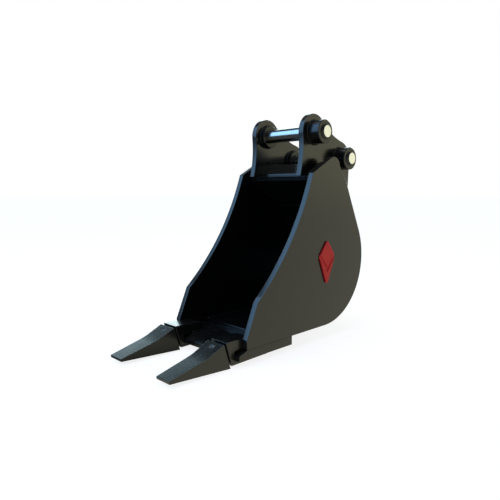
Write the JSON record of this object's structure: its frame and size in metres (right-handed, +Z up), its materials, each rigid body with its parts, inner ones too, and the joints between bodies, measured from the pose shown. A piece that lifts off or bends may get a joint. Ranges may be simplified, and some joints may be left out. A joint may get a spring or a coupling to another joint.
{
  "type": "excavator bucket",
  "caption": "Trenching bucket for a small excavator: curved shell with side plates, boxed top, hanger ears with two pins, cutting edge and replaceable teeth.",
  "frame": {"origin": "middle of the front pin's axis, half way between the ears", "axes": "+X the digging direction (towards the teeth), +Y the bucket's left side, +Z up"},
  "size_m": [0.756, 0.31, 0.6705],
  "materials": {
    "black_paint": "satin black paint over steel plate",
    "edge_paint": "satin black paint, worn at the edge",
    "weld_paint": "glossier black paint over weld beads",
    "tooth_paint": "dark grey satin paint over cast steel",
    "ground_steel": "ground and polished",
    "plated_steel": "zinc plated",
    "bush_steel": "hardened, dark",
    "spring_steel": "blued spring steel",
    "badge_red": "satin red paint"
  },
  "bodies": {
    "bucket": {"left_side_plate": "black_paint", "right_side_plate": "black_paint", "wrapper": "black_paint", "top_plate": "black_paint", "ceiling_plate": "black_paint", "left_ear": "black_paint", "right_ear": "black_paint", "cutting_edge": "edge_paint", "front_left_boss": "black_paint", "front_right_boss": "black_paint", "rear_left_boss": "black_paint", "rear_right_boss": "black_paint", "front_left_bush": "bush_steel", "front_right_bush": "bush_steel", "rear_left_bush": "bush_steel", "rear_right_bush": "bush_steel", "left_boss_welds": "weld_paint", "right_boss_welds": "weld_paint", "front_lug": "black_paint", "rear_lug": "black_paint", "left_adapter": "black_paint", "right_adapter": "black_paint", "left_tooth": "tooth_paint", "right_tooth": "tooth_paint", "left_badge": "badge_red", "right_badge": "badge_red"},
    "front_pin_set": {"front_pin": "ground_steel", "front_flag": "black_paint", "front_washer": "plated_steel", "front_bolt": "plated_steel"},
    "rear_pin_set": {"rear_pin": "ground_steel", "rear_flag": "black_paint", "rear_washer": "plated_steel", "rear_bolt": "plated_steel"},
    "left_tooth_lock": {"left_lock_pin": "spring_steel"},
    "right_tooth_lock": {"right_lock_pin": "spring_steel"}
  },
  "joints": [
    {"name": "front_pin_slide", "type": "slide", "parent": "bucket", "child": "front_pin_set", "axis": [0, -1, 0], "range_m": [0, 0.33]},
    {"name": "rear_pin_slide", "type": "slide", "parent": "bucket", "child": "rear_pin_set", "axis": [0, -1, 0], "range_m": [0, 0.33]},
    {"name": "left_lock_pin_slide", "type": "slide", "parent": "bucket", "child": "left_tooth_lock", "axis": [0.2924, 0, 0.9563], "range_m": [0, 0.075]},
    {"name": "right_lock_pin_slide", "type": "slide", "parent": "bucket", "child": "right_tooth_lock", "axis": [0.2924, 0, 0.9563], "range_m": [0, 0.075]}
  ]
}
